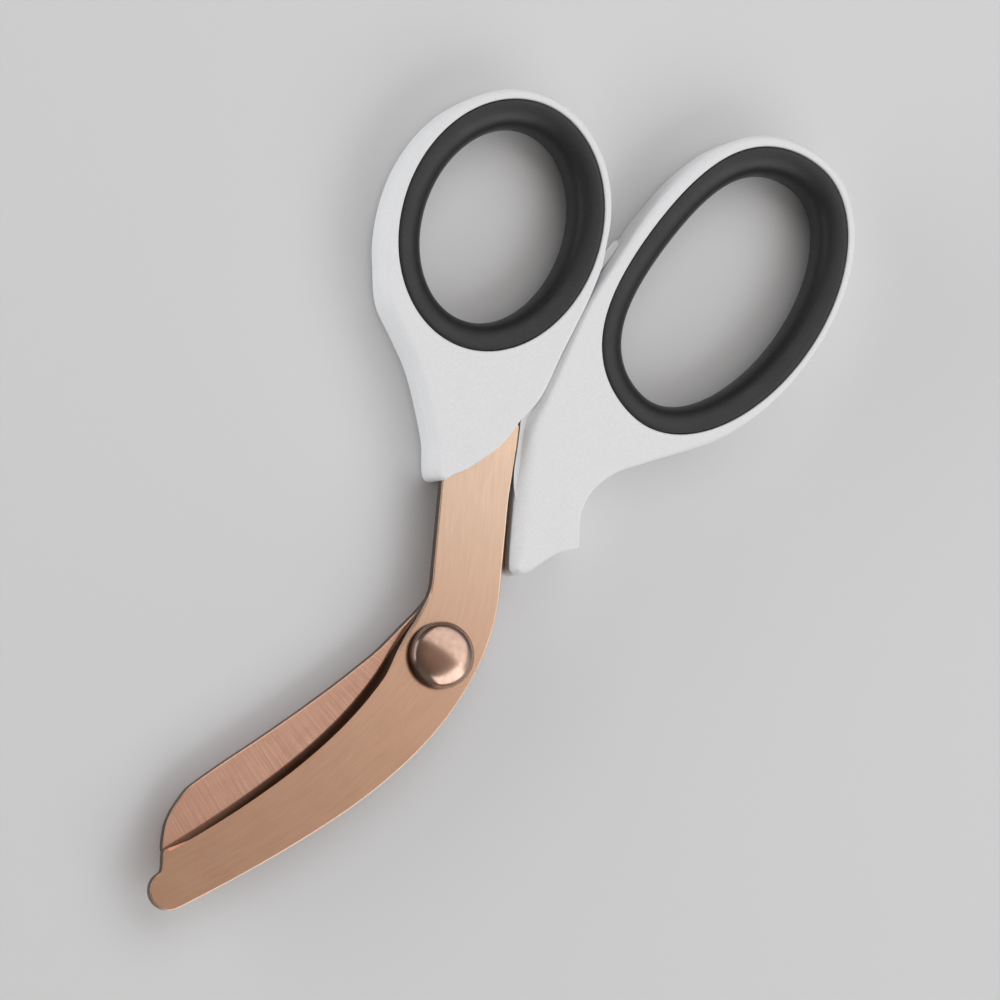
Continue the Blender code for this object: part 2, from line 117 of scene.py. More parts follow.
# How it darkens towards three sides: an axis, from where to where, and the light's share at both
ROOM_SIDES = (
    ("Y", -0.60, 0.05, 0.30, 1.0),
    ("Y", 0.25, 0.85, 1.0, 0.25),
    ("X", -0.75, -0.05, 0.25, 1.0),
)
RANGE_SOCKETS = ("From Min", "From Max", "To Min", "To Max")


def mesh_piece(name, points, faces, uvs=None, slots=None, looks=()):
    """A mesh object from points in millimetres, a UV for each point and a slot for each face."""
    mesh = bpy.data.meshes.new(name)
    mesh.from_pydata([tuple(MM * float(c) for c in p) for p in points], [], faces)
    if uvs is not None:
        layer = mesh.uv_layers.new(name="along")
        corners = np.empty(len(mesh.loops), dtype=np.int64)
        mesh.loops.foreach_get("vertex_index", corners)
        layer.data.foreach_set("uv", np.asarray(uvs, float)[corners].ravel())
    for look in looks:
        mesh.materials.append(look)
    if slots is not None:
        mesh.polygons.foreach_set("material_index", slots)
    obj = bpy.data.objects.new(name, mesh)
    bpy.context.scene.collection.objects.link(obj)
    return obj


def clean(obj, merge=1e-7):
    """Merges coincident points, turns the faces outward and smooths all but the sharp edges."""
    made = bmesh.new()
    made.from_mesh(obj.data)
    bmesh.ops.remove_doubles(made, verts=made.verts, dist=merge)
    bmesh.ops.dissolve_degenerate(made, dist=1e-8, edges=made.edges)
    bmesh.ops.recalc_face_normals(made, faces=made.faces)
    made.to_mesh(obj.data)
    made.free()
    obj.data.shade_smooth()
    obj.data.set_sharp_from_angle(angle=SHARP)
    return obj


def cut(obj, other, operation="DIFFERENCE"):
    """Takes the other piece out of the object's mesh, or joins it on, for good."""
    step = obj.modifiers.new("cut", "BOOLEAN")
    step.operation = operation
    step.solver = "EXACT"
    step.object = other
    bpy.context.view_layer.update()
    evaluated = obj.evaluated_get(bpy.context.evaluated_depsgraph_get())
    result = bpy.data.meshes.new_from_object(evaluated)
    obj.modifiers.clear()
    result.name = obj.data.name
    obj.data = result
    bpy.data.objects.remove(other)
    return obj


def grid_faces(rows, columns, first=0, wrap_rows=False):
    """Quads of a grid of points laid out row by row, whose rows close on themselves."""
    faces = []
    for r in range(rows if wrap_rows else rows - 1):
        low = first + r * columns
        high = first + (r + 1) % rows * columns
        for c in range(columns):
            d = (c + 1) % columns
            faces.append((low + c, low + d, high + d, high + c))
    return faces


class Path:
    """A blade's middle line, worked out from its headings."""

    def __init__(self, heading, start, end):
        step = 0.05
        self.heading = heading
        self.s = np.arange(math.floor(start / step), math.ceil(end / step) + 1) * step
        turns = heading(self.s + step / 2)
        self.x = np.concatenate(([0.0], np.cumsum(-np.sin(turns) * step)[:-1]))
        self.y = np.concatenate(([0.0], np.cumsum(-np.cos(turns) * step)[:-1]))
        zero = int(np.argmin(np.abs(self.s)))
        self.x -= self.x[zero]
        self.y -= self.y[zero]

    def at(self, s, aside):
        """The flat points at these distances, this far beside the middle line."""
        h = self.heading(np.asarray(s, float))
        x = np.interp(s, self.s, self.x) + aside * np.cos(h)
        y = np.interp(s, self.s, self.y) - aside * np.sin(h)
        return np.column_stack((np.atleast_1d(x), np.atleast_1d(y)))


def blade_heading(s):
    return TIP_HEADING - (TIP_HEADING - PIVOT_HEADING) * np.exp(-np.maximum(s, 0.0) / SWEEP)


def front_heading(s):
    bent = PIVOT_HEADING - (NECK_LEAN + PIVOT_HEADING) * np.minimum(1.0, np.maximum(-s, 0) / BEND)
    return np.where(s >= 0, blade_heading(s), bent)


def back_heading(s):
    stops = (-2 * BEND, -BEND, 0.0)
    bent = np.interp(s, stops, (BACK_TANG_HEADING, BACK_NECK_HEADING, PIVOT_HEADING))
    return np.where(s >= 0, blade_heading(s), bent)


front_path = Path(front_heading, -FRONT_TANG - 2, BLADE_LENGTH + 1)
back_path = Path(back_heading, -BACK_TANG - 2, BLADE_LENGTH + 1)


def eased(rows, s):
    """Each later column of the rows at this distance, on a curve that never swings past them."""
    stops = np.array([row[0] for row in rows])
    values = np.array([row[1:] for row in rows])
    secants = np.diff(values, axis=0) / np.diff(stops)[:, None]
    before, after = secants[:-1], secants[1:]
    same = before * after > 0
    shared = np.where(same, 2 * before * after / np.where(same, before + after, 1.0), 0.0)
    slopes = np.vstack((secants[:1], shared, secants[-1:]))
    k = int(np.clip(np.searchsorted(stops, s) - 1, 0, len(rows) - 2))
    span = stops[k + 1] - stops[k]
    t = min(max((s - stops[k]) / span, 0.0), 1.0)
    near = (1 + 2 * t) * (1 - t) ** 2 * values[k] + t * (1 - t) ** 2 * span * slopes[k]
    far = t * t * (3 - 2 * t) * values[k + 1] + t * t * (t - 1) * span * slopes[k + 1]
    return near + far


# Distance, cutting side, spine
FRONT_SIDES = (
    (-FRONT_TANG, -3.42, 3.75),
    (-FRONT_SHOULDER - TANG_STEP, -5.7, 5.25),
    (-FRONT_SHOULDER, -5.7, 8.4),
    (-29.0, -5.7, 7.5),
    (-BEND, -5.7, 7.5),
    (0.0, -7.8, 7.6),
    (4.0, -7.95, 7.62),
    (10.0, -7.6, 7.6),
    (24.2, -6.9, 7.1),
    (44.2, -6.40, 5.82),
    (FOOT_START, -6.0, 4.6),
)
# Distance, bevel's width, height of the wall under it, share of the bevel painted dark as a
# reflection
FRONT_BEVEL = (
    (-FRONT_TANG, EDGE, 2.2, 0.02),
    (-13.0, EDGE, 2.2, 0.02),
    (-8.0, 0.40, 1.9, 0.03),
    (-3.0, 0.80, 1.4, 0.25),
    (3.0, 1.20, 0.8, 0.50),
    (6.5, 1.30, LAND, 0.75),
    (10.0, 1.25, LAND, 0.97),
    (24.2, 1.25, LAND, 0.97),
    (37.1, 1.28, LAND, 0.97),
    (49.9, 1.08, LAND, 0.97),
    (60.0, 0.85, LAND, 0.95),
    (FOOT_START, 0.60, 0.5, 0.15),
)
# Distance, cutting side, spine
BACK_SIDES = (
    (-BACK_TANG, 2.47, -2.47),
    (-BACK_TANG + 4.0, 3.8, -3.8),
    (-35.3, 3.8, -3.8),
    (-2 * BEND, 3.8, -4.56),
    (-19.6, 3.8, -5.7),
    (-8.4, 5.7, -6.55),
    (0.0, 6.6, -8.7),
    (5.7, 3.96, -9.8),
    (12.8, -3.5, -11.15),
    (25.0, -3.5, -12.65),
    (35.6, -3.5, -13.33),
    (45.6, -3.5, -13.6),
    (53.5, -3.5, -13.33),
    (57.8, -3.5, -11.97),
    (61.3, -3.5, -9.93),
    (FOOT_START, -3.5, -6.0),
)


def straight(rows, s):
    """Each later column of the rows at this distance, on straight lines."""
    stops = [row[0] for row in rows]
    return [float(np.interp(s, stops, [row[k] for row in rows])) for k in range(1, len(rows[0]))]


def rounded_side(low, high, radius):
    """(inset, height) points up a side wall with both of its edges rounded."""
    arc = [(radius * (1 - math.sin(t)), radius * (1 - math.cos(t))) for t in (0, 0.52, 1.05, 1.57)]
    rising = [(inset, low + drop) for inset, drop in arc]
    falling = [(inset, high - drop) for inset, drop in reversed(arc)]
    return rising + falling


def ground_side(low, high, bevel, wall, painted_dark_share=0.97):
    """(inset, height) points up a ground edge: a small land, then a slightly hollow bevel.

    The share of the bevel painted dark as a reflection is its first facet."""
    hollow = 0.03
    top = low + wall
    rise = high - top
    slope = []
    for f in (0, painted_dark_share, (1 + painted_dark_share) / 2, 1):
        slope.append((bevel * f + hollow * math.sin(math.pi * f), top + rise * f))
    return [(0.06, low), (0.02, low + 0.02), (0.0, low + 0.06), (0.0, top - 0.03)] + slope


def blended(one, other, share):
    """A side profile this share of the way from one to the other."""
    return [tuple(a + (b - a) * share for a, b in zip(p, q)) for p, q in zip(one, other)]


# Where a section's floor and face have points, how many points each of its sides has, and how many
# facets of a side, from its lower edge up, are sheared wall
FACE_STEPS = (0.012, 0.04, 0.2, 0.35, 0.5, 0.65, 0.8, 0.96, 0.988)
SIDE_POINTS = 8
WALL_FACETS = 4


def section(cutting, spine, cutting_side, spine_side, s):
    """A closed loop of (distance, aside, height): floor, cutting side, face, spine side."""
    way = math.copysign(1.0, spine - cutting)
    left = [(cutting + way * inset, z) for inset, z in cutting_side]
    right = [(spine - way * inset, z) for inset, z in spine_side]
    loop = [(right[0][0] + (left[0][0] - right[0][0]) * f, left[0][1]) for f in FACE_STEPS]
    loop += left
    loop += [(left[-1][0] + (right[-1][0] - left[-1][0]) * f, left[-1][1]) for f in FACE_STEPS]
    loop += right[::-1]
    return [(s, aside, z) for aside, z in loop]


def blade_slot(s, facet, ground, start, end):
    """0 for a blade's faces, 1 for its ground facet with the painted dark reflection, and 2 for
    its sheared side walls, darkened partly as painted shade.
    """
    side = facet - len(FACE_STEPS)
    if side == ground:
        return 1 if start < s < end else 0
    far = SIDE_POINTS - 2 - (side - SIDE_POINTS - len(FACE_STEPS))
    return 2 if 0 <= side < WALL_FACETS or 0 <= far < WALL_FACETS else 0


def swept(name, path, sections, slots, looks, cap_end=True):
    """A blade skinned over its sections, whose UVs are path coordinates in millimetres."""
    count = len(sections[0])
    rows = np.array(sections, float).reshape(-1, 3)
    flat = path.at(rows[:, 0], rows[:, 1])
    points = np.column_stack((flat, rows[:, 2]))
    faces = grid_faces(len(sections), count)
    marks = [slots(low[0][0], c) for low in sections[:-1] for c in range(count)]
    faces.append(tuple(range(count))[::-1])
    if cap_end:
        faces.append(tuple(range(len(points) - count, len(points))))
    marks += [0] * (len(faces) - len(marks))
    return clean(mesh_piece(name, points, faces, rows[:, :2], marks, looks))


def bore_cutter(radius, low, high, steps=128):
    """A plain round plug about the pivot, to cut a hole with."""
    turn = [2 * math.pi * k / steps for k in range(steps)]
    points = [(radius * math.cos(t), radius * math.sin(t), z) for z in (low, high) for t in turn]
    faces = grid_faces(2, steps) + [tuple(range(steps))[::-1], tuple(range(steps, 2 * steps))]
    return clean(mesh_piece("bore", points, faces))


def front_blade(looks):
    """Neck, bend, ground edge, and the blunt foot that slides under a bandage."""
    stations = np.concatenate((
        np.linspace(-FRONT_TANG, -FRONT_SHOULDER - TANG_STEP, 6)[:-1],
        np.linspace(-FRONT_SHOULDER - TANG_STEP, -FRONT_SHOULDER, 9)[:-1],
        np.linspace(-FRONT_SHOULDER, -BEND, 26)[:-1],
        np.linspace(-BEND, 12.0, 34)[:-1],
        np.linspace(12.0, FOOT_START, 60),
    ))
    plain_until, ground_from, ground_facet = -13.0, -9.0, 4
    spine_side = rounded_side(FRONT_LOW, FRONT_HIGH, EDGE)
    sections = []
    for s in stations:
        cutting, spine = eased(FRONT_SIDES, s)
        bevel, wall, painted_dark_share = straight(FRONT_BEVEL, s)
        ground = ground_side(FRONT_LOW, FRONT_HIGH, bevel, wall, painted_dark_share)
        share = float(np.interp(s, (plain_until, ground_from), (0, 1)))
        side = blended(spine_side, ground, share)
        sections.append(section(cutting, spine, side, spine_side, s))
    foot_centre = BLADE_LENGTH - FOOT_RADIUS
    cutting, spine = eased(FRONT_SIDES, FOOT_START)
    for share in np.linspace(0, 1, 13)[1:]:
        s = FOOT_START + (foot_centre - FOOT_START) * share
        hollow = math.sin(math.pi / 2 * share) ** 2
        left = cutting + (FOOT_ASIDE - FOOT_RADIUS - cutting) * hollow
        right = spine + (FOOT_ASIDE + FOOT_RADIUS - spine) * share
        sections.append(section(left, right, spine_side, spine_side, s))
    flat = section(-FOOT_RADIUS, FOOT_RADIUS, spine_side, spine_side, 0.0)
    for turn in np.radians(np.linspace(0, 90, 24))[1:]:
        sections.append([
            (foot_centre + abs(aside) * math.sin(turn), FOOT_ASIDE + aside * math.cos(turn), z)
            for _, aside, z in flat
        ])
    blade = swept(
        "front_blade_ground",
        front_path,
        sections,
        lambda s, facet: blade_slot(s, facet, ground_facet, ground_from, FOOT_START),
        looks,
        cap_end=False,
    )
    return clean(cut(blade, bore_cutter(BORE_RADIUS, FRONT_LOW - 1, FRONT_HIGH + 1)))


def back_blade(looks):
    """Neck, and the broad plate whose edge passes under the lower blade."""
    corner, bevel = 0.9, 1.6
    plain_until, ground_from = 10.7, 17.8
    # The back blade's ground facet carries the same painted dark reflection from here on
    painted_dark_from, painted_dark_facet = 14.0, 2
    stations = np.concatenate((
        np.linspace(-BACK_TANG, -BEND, 34)[:-1],
        np.linspace(-BEND, 16.0, 40)[:-1],
        np.linspace(16.0, FOOT_START - corner, 64)[:-1],
        FOOT_START - corner + corner * np.sin(np.radians(np.linspace(0, 80, 8))),
    ))
    spine_side = rounded_side(BACK_LOW, BACK_HIGH, EDGE)
    ground = ground_side(BACK_LOW, BACK_HIGH, bevel, LAND)
    upside = [(inset, BACK_LOW + BACK_HIGH - z) for inset, z in reversed(ground)]
    sections = []
    for s in stations:
        cutting, spine = eased(BACK_SIDES, s)
        past = max(0.0, s - (FOOT_START - corner)) / corner
        spine += corner * (1 - math.sqrt(1 - past * past))
        share = float(np.interp(s, (plain_until, ground_from), (0, 1)))
        side = blended(spine_side, upside, share)
        sections.append(section(cutting, spine, side, spine_side, s))
    blade = swept(
        "back_blade_ground",
        back_path,
        sections,
        lambda s, facet: blade_slot(s, facet, painted_dark_facet, painted_dark_from, FOOT_START + 2),
        looks,
    )
    return clean(cut(blade, bore_cutter(BORE_RADIUS, BACK_LOW - 1, BACK_HIGH + 1)))


def normals(points):
    """Unit normals that point out of an anticlockwise outline."""
    along = np.roll(points, -1, axis=0) - np.roll(points, 1, axis=0)
    along /= np.linalg.norm(along, axis=1)[:, None]
    return np.column_stack((along[:, 1], -along[:, 0]))


def offset(points, distance):
    """The outline moved out by one distance, or by one for each point."""
    return points + normals(points) * np.reshape(distance, (-1, 1))


def smooth_loop(stops, spacing):
    """A closed centripetal Catmull-Rom curve through the stops, read about every spacing."""
    stops = [np.array(stop, float) for stop in stops]
    curve = []
    for k in range(len(stops)):
        p0, p1, p2, p3 = (stops[(k + i - 1) % len(stops)] for i in range(4))
        t1 = math.sqrt(np.linalg.norm((p1 - p0)[:2]))
        t2 = t1 + math.sqrt(np.linalg.norm((p2 - p1)[:2]))
        t3 = t2 + math.sqrt(np.linalg.norm((p3 - p2)[:2]))
        steps = max(1, round(np.linalg.norm((p2 - p1)[:2]) / spacing))
        for t in t1 + (t2 - t1) * np.arange(steps) / steps:
            a1 = (t1 - t) / t1 * p0 + t / t1 * p1
            a2 = (t2 - t) / (t2 - t1) * p1 + (t - t1) / (t2 - t1) * p2
            a3 = (t3 - t) / (t3 - t2) * p2 + (t - t2) / (t3 - t2) * p3
            b1 = (t2 - t) / t2 * a1 + t / t2 * a2
            b2 = (t3 - t) / (t3 - t1) * a2 + (t - t1) / (t3 - t1) * a3
            curve.append((t2 - t) / (t2 - t1) * b1 + (t - t1) / (t2 - t1) * b2)
    return np.array(curve)


def room_inside(points):
    """At each point, the radius of the largest circle inside the outline that touches it there."""
    between = points[None, :, :] - points[:, None, :]
    inward = np.einsum("ijk,ik->ij", between, -normals(points))
    radius = (between**2).sum(axis=2) / np.maximum(2 * inward, 1e-9)
    return np.where(inward > 1e-9, radius, np.inf).min(axis=1)


def inside(points, loop):
    """Which of the points lie inside a closed loop."""
    x, y = points[:, :1], points[:, 1:2]
    x0, y0 = loop[:, 0], loop[:, 1]
    x1, y1 = np.roll(x0, -1), np.roll(y0, -1)
    spans = (y0 > y) != (y1 > y)
    rise = np.where(y1 == y0, 1e-12, y1 - y0)
    return (spans & (x < (x1 - x0) * (y - y0) / rise + x0)).sum(axis=1) % 2 == 1


def reach(points, loop):
    """The distance from each point to the nearest point of a loop."""
    return np.sqrt(((points[:, None, :] - loop[None, :, :]) ** 2).sum(axis=2)).min(axis=1)


def oval(centre, half_width, half_length, lean, fullness, steps):
    """A leaning oval. Fullness squares off its -X side."""
    t = 2 * math.pi * np.arange(steps) / steps
    x = half_width * np.cos(t)
    y = half_length * np.sin(t)
    x = np.where(x < 0, x * (1 + fullness * np.sin(t) ** 2), x)
    across = x * math.cos(lean) - y * math.sin(lean)
    up = x * math.sin(lean) + y * math.cos(lean)
    return np.column_stack((centre[0] + across, centre[1] + up))


# Each bow's hole and the outer edge of its liner: centre, half width, half length, lean, fullness
THUMB_HOLE = ((-35.45, 72.6), 13.95, 18.9, math.radians(10.4), 0.0)
THUMB_SEAT = ((-35.30, 72.55), 19.40, 24.35, math.radians(10.7), 0.0)
FINGER_HOLE = ((8.10, 88.54), 14.0, 25.35, math.radians(-4.1), 0.26)
FINGER_SEAT = ((8.40, 88.42), 19.18, 30.71, math.radians(-3.9), 0.24)
SEAT_STEPS = 264


def bow(seat, rim, first, last):
    """Outline stops round a bow between two angles in degrees, from rows of angle and width."""
    loop = oval(*seat, 360)
    out = normals(loop)
    angles, widths = zip(*rim)
    stops = []
    for angle in np.linspace(first, last, round((last - first) / 10) + 1):
        width = float(np.interp(angle, angles, widths))
        k = round(angle) % 360
        x, y = loop[k] + out[k] * width
        stops.append((x, y, max(0.5, 0.62 * width - 0.2), 1.6))
    return stops


def filled(outer, inner, height):
    """Triangles between an outer and an inner loop, with height a function of the points."""
    spacing = LATTICE_SPACING
    low, high = outer.min(axis=0), outer.max(axis=0)
    xs = np.arange(low[0], high[0], spacing)
    ys = np.arange(low[1], high[1], spacing * 0.866)
    lattice = np.array([(x + spacing / 2 * (r % 2), y) for r, y in enumerate(ys) for x in xs])
    rings = ((0.35, 1), (0.8, 2))
    clouds = [offset(outer, -d)[::n] for d, n in rings]
    clouds += [offset(inner, d)[::n] for d, n in rings]
    kept = []
    for cloud, clear in zip([*clouds, lattice], (0.3, 0.7, 0.3, 0.7, 1.1)):
        cloud = cloud[inside(cloud, outer) & ~inside(cloud, inner)]
        cloud = cloud[(reach(cloud, outer) > clear) & (reach(cloud, inner) > clear)]
        kept.append(cloud)
    points = np.vstack((outer, inner, *kept))
    n, m = len(outer), len(inner)
    edges = [(k, (k + 1) % n) for k in range(n)] + [(n + k, n + (k + 1) % m) for k in range(m)]
    found = delaunay_2d_cdt([Vector(p) for p in points], edges, [], 0, 1e-7, True)
    flat = np.array([tuple(p) for p in found[0]])
    faces = np.array(found[2])
    middles = flat[faces].mean(axis=1)
    faces = faces[inside(middles, outer) & ~inside(middles, inner)]
    return np.column_stack((flat, height(flat))), faces


def handle(name, stops, seat):
    """A moulded handle: rounded edges, draft, a parting line, a crowned face and the liner's seat.

    Each stop is (x, y, how wide the edge rounding is, how high it is)."""
    curve = smooth_loop(stops, OUTLINE_SPACING)
    outline = curve[:, :2]
    wide = np.clip(curve[:, 2], 0.4, 4.0)
    tall = np.clip(curve[:, 3], 0.5, 4.3)
    wide = np.minimum(wide, 0.8 * room_inside(outline))
    for _ in range(24):
        wide = np.minimum(wide, (np.roll(wide, 1) + wide + np.roll(wide, -1)) / 3)
    for _ in range(12):
        tall = (np.roll(tall, 1) + tall + np.roll(tall, -1)) / 3
    draft = 0.05
    crown, crown_reach = 0.14, 3.0
    steps = 9
    loops = []
    for k in range(steps + 1):
        t = math.pi / 2 * k / steps
        inset = draft + wide * (1 - math.sin(t))
        z = crown * (1 - math.sin(t)) + tall * (1 - math.cos(t))
        loops.append((inset, z))
    for inset, z in ((0.02, 4.6), (0.0, MIDDLE - 0.13), (0.06, MIDDLE - 0.05)):
        loops.append((np.full(len(outline), inset), np.full(len(outline), z)))
    loops += [(inset, THICK - z) for inset, z in reversed(loops)]
    rows = [np.column_stack((offset(outline, -inset), z)) for inset, z in loops]
    inner_loop = rows[-1][:, :2]
    hole = oval(*seat, SEAT_STEPS)
    lip = offset(hole, 0.42)

    def top(flat):
        return THICK - crown * np.exp(-reach(flat, inner_loop) / crown_reach)

    seat_profile = [(0.42, 0.0), (0.28, 0.02), (0.16, 0.08), (0.06, 0.22), (0.02, 0.42)]
    upper, upper_faces = filled(inner_loop, lip, top)
    lip_top = top(lip)
    faces = grid_faces(len(rows), len(outline))
    total = len(rows) * len(outline)
    lower = upper.copy()
    lower[:, 2] = THICK - lower[:, 2]
    faces += [tuple(int(i) + total for i in f) for f in upper_faces]
    total += len(upper)
    faces += [tuple(int(i) + total for i in reversed(f)) for f in upper_faces]
    total += len(lower)
    wall = []
    for out, drop in seat_profile:
        wall.append(np.column_stack((offset(hole, out), lip_top - drop)))
    for out in (0.02, -1.18):
        heights = np.full(SEAT_STEPS, MIDDLE + TONGUE_HALF)
        wall.append(np.column_stack((offset(hole, out), heights)))
    wall += [np.column_stack((w[:, :2], THICK - w[:, 2])) for w in reversed(wall)]
    faces += grid_faces(len(wall), SEAT_STEPS, first=total)
    made = mesh_piece(name, np.vstack((*rows, upper, lower, *wall)), faces)
    return clean(made, merge=2e-7)


def slab(stops, low, high, radius):
    """A closed piece with rounded edges over a smooth outline."""
    outline = smooth_loop(stops, 0.3)
    count = len(outline)
    rows = []
    for inset, z in rounded_side(low, high, radius):
        rows.append(np.column_stack((offset(outline, -inset), np.full(count, z))))
    faces = grid_faces(len(rows), count)
    last = (len(rows) - 1) * count
    faces += [tuple(range(count))[::-1], tuple(range(last, last + count))]
    return clean(mesh_piece("slab", np.vstack(rows), faces))


def pocket(path, rows, reach_back, low, high):
    """A cutter that leaves a thin gap round a tang."""
    gap = TANG_GAP
    low, high = low - gap, high + gap
    stations = np.concatenate(([-reach_back - gap], np.linspace(-reach_back, -BEND, 60)))
    points = []
    for s in stations:
        left, right = sorted(eased(rows, max(s, -reach_back)))
        corners = ((left - gap, low), (right + gap, low), (right + gap, high), (left - gap, high))
        for aside, z in corners:
            points.append((*path.at(s, aside)[0], z))
    faces = grid_faces(len(stations), 4)
    faces += [(3, 2, 1, 0), tuple(range(len(points) - 4, len(points)))]
    return clean(mesh_piece("pocket", points, faces))


def thumb_handle():
    """The smaller bow, with the fin at the end of its seam."""
    lip = ((33.5, -4.5), (35.0, -1.8), (37.0, 0.8), (39.2, 3.4), (41.8, 5.6), (44.8, 7.4))
    stops = [(*front_path.at(-reach_back, aside)[0], 0.7, 0.7) for reach_back, aside in lip]
    stops += [(x - HANDLE_GAP / 2, y, 0.9, 1.0) for x, y in SEAM]
    stops += [(-14.2, 74.6, 0.9, 1.0), (-14.95, 77.9, 0.8, 1.0)]
    rim = ((0, 1.2), (30, 1.5), (75, 1.65), (110, 2.0), (195, 2.0), (220, 2.6))
    stops += bow(THUMB_SEAT, rim, 12, 218)
    flank = ((-45.2, 48.0), (-38.5, 44.1), (-33.2, 40.8), (-23.5, 31.8), (-21.5, 29.0))
    stops += [(x, y, 1.5, 1.7) for x, y in flank]
    tip = ((-20.3, 27.5), (-19.2, 26.65), (-17.9, 26.8))
    stops += [(x, y, 1.1, 1.2) for x, y in tip]
    made = handle("thumb_handle_moulded", stops, THUMB_SEAT)
    cut(made, slab(FIN, 0.8, 5.6, 0.3), "UNION")
    tang = pocket(front_path, FRONT_SIDES, FRONT_TANG, FRONT_LOW, FRONT_HIGH)
    return clean(cut(made, tang))


def finger_handle():
    """The larger bow, with its guard and the ledge beside the lower blade's neck."""
    nose = front_path.at(-18.5, 8.8)[0]
    guard = (
        (0.7, -0.75, 2.9, 3.2), (2.0, -0.85, 2.4, 2.6), (3.3, 0.3, 1.7, 1.8),
        (4.4, 3.0, 1.2, 1.3), (5.6, 5.8, 1.0, 1.0), (6.6, 7.3, 1.0, 1.0),
        (8.0, 8.7, 0.9, 0.9), (8.8, 9.9, 0.6, 0.6),
        (8.1, 11.2, 0.8, 0.8), (5.8, 15.4, 1.0, 1.0), (5.2, 19.8, 1.0, 1.0),
        (6.8, 25.0, 1.1, 1.1), (10.6, 30.2, 1.2, 1.2),
    )
    stops = [(nose[0] + x, nose[1] + y, r, t) for x, y, r, t in guard]
    rim = ((-60, 3.0), (-30, 1.7), (0, 1.2), (60, 1.5), (120, 2.2), (190, 2.3))
    stops += bow(FINGER_SEAT, rim, -55, 190)
    rounding = ((2.8, 2.6), (2.0, 2.0), (1.4, 1.5))
    stops += [(x + HANDLE_GAP / 2, y, *r) for (x, y), r in list(zip(SEAM, rounding))[::-1]]
    for back, aside in ((44.8, 8.95), (38.0, 8.6), (33.0, 8.45), (27.5, 8.45), (21.1, 8.6)):
        stops.append((*front_path.at(-back, aside)[0], 3.9, 4.3))
    stops.append((*nose, 3.6, 4.0))
    made = handle("finger_handle_moulded", stops, FINGER_SEAT)
    ledge = [front_path.at(distance, aside)[0] for distance, aside in LEDGE]
    cut(made, slab(ledge[::-1], 5.6, 8.4, 0.18), "UNION")
    tang = pocket(back_path, BACK_SIDES, BACK_TANG, BACK_LOW, BACK_HIGH)
    return clean(cut(made, tang))


def liner(name, hole, seat):
    """A soft ring, flared from its hole to its rim, with a groove for the handle's tongue."""
    steps, bulge, lip = 32, 0.8, 0.965
    profile = []
    for k in range(steps + 1):
        t = math.pi * (k / steps - 0.5)
        rise = math.copysign(abs(math.sin(t)) ** bulge, math.sin(t))
        profile.append((1 - math.cos(t) ** bulge, MIDDLE + LINER_HALF * rise))
    profile[0] = (lip, profile[0][1])
    profile[-1] = (lip, profile[-1][1])
    back = ((0.985, 4.84), (0.995, 4.7), (0.995, GROOVE_HALF), (0.76, GROOVE_HALF))
    profile += [(share, MIDDLE + up) for share, up in back]
    profile += [(share, MIDDLE - down) for share, down in reversed(back)]
    inner = oval(*hole, SEAT_STEPS)
    outer = offset(oval(*seat, SEAT_STEPS), -0.12)
    points, uvs = [], []
    for share, z in profile:
        ring = inner + (outer - inner) * share
        points.append(np.column_stack((ring, np.full(SEAT_STEPS, z))))
        uvs += [(k * 0.5, share * 6) for k in range(SEAT_STEPS)]
    faces = grid_faces(len(profile), SEAT_STEPS, wrap_rows=True)
    return clean(mesh_piece(name, np.vstack(points), faces, uvs))


def turned(name, profile, ring=False):
    """A turned piece about the pivot, from (radius, height) points."""
    steps = TURN_STEPS
    turn = 2 * math.pi * np.arange(steps) / steps
    points, uvs = [], []
    for radius, z in profile:
        points += [(radius * math.cos(t), radius * math.sin(t), z) for t in turn]
        uvs += [(radius, z)] * steps
    faces = grid_faces(len(profile), steps, wrap_rows=ring)
    if not ring:
        last = len(points) - steps
        faces += [tuple(range(steps))[::-1], tuple(range(last, last + steps))]
    return clean(mesh_piece(name, points, faces, uvs))


def pivot_screw():
    """A polished dome with a thin rim, over a plain shank."""
    shank, rim = 2.5, 6.2
    profile = [(shank - 0.4, 0.9), (shank, 1.3), (shank, HEAD_LOW)]
    profile += [(rim - 0.1, HEAD_LOW), (rim, HEAD_LOW + 0.1), (rim, HEAD_LOW + 0.32)]
    profile += [(rim - 0.06, HEAD_LOW + 0.42), (rim - 0.2, HEAD_LOW + 0.46)]
    dome, dome_low, dome_rise = rim - 0.24, HEAD_LOW + 0.42, 1.97
    for t in np.radians(np.linspace(4, 89, 26)):
        profile.append((dome * math.cos(t), dome_low + dome_rise * math.sin(t)))
    return turned("pivot_screw_domed", profile)


def pivot_nut():
    """A flat round nut with a blind bore and two holes for a pin spanner."""
    rim, top, floor = 5.6, 2.65, 0.6
    pin_radius, pin_depth, pin_aside = 0.65, 0.32, 3.6
    profile = [(rim - 0.45, 0.0), (rim - 0.2, 0.08), (rim - 0.05, 0.25), (rim, 0.45)]
    profile += [(rim, 2.45), (rim - 0.06, 2.59), (rim - 0.2, top)]
    profile += [(BORE_RADIUS, top), (BORE_RADIUS, floor)]
    nut = turned("pivot_nut_turned", profile)
    for side in (-1, 1):
        pin = bore_cutter(pin_radius, -0.5, pin_depth, steps=40)
        pin.data.transform(Matrix.Translation((side * pin_aside * MM, 0, 0)))
        cut(nut, pin)
    return clean(nut)


def friction_washer():
    """A thin ring between the head and the lower blade, with softened outer edges."""
    inner, outer = BORE_RADIUS, 5.6
    profile = [
        (inner, WASHER_LOW), (outer - 0.1, WASHER_LOW), (outer, WASHER_LOW + 0.1),
        (outer, WASHER_HIGH - 0.1), (outer - 0.1, WASHER_HIGH), (inner, WASHER_HIGH),
    ]
    return turned("friction_washer_pressed", profile, ring=True)


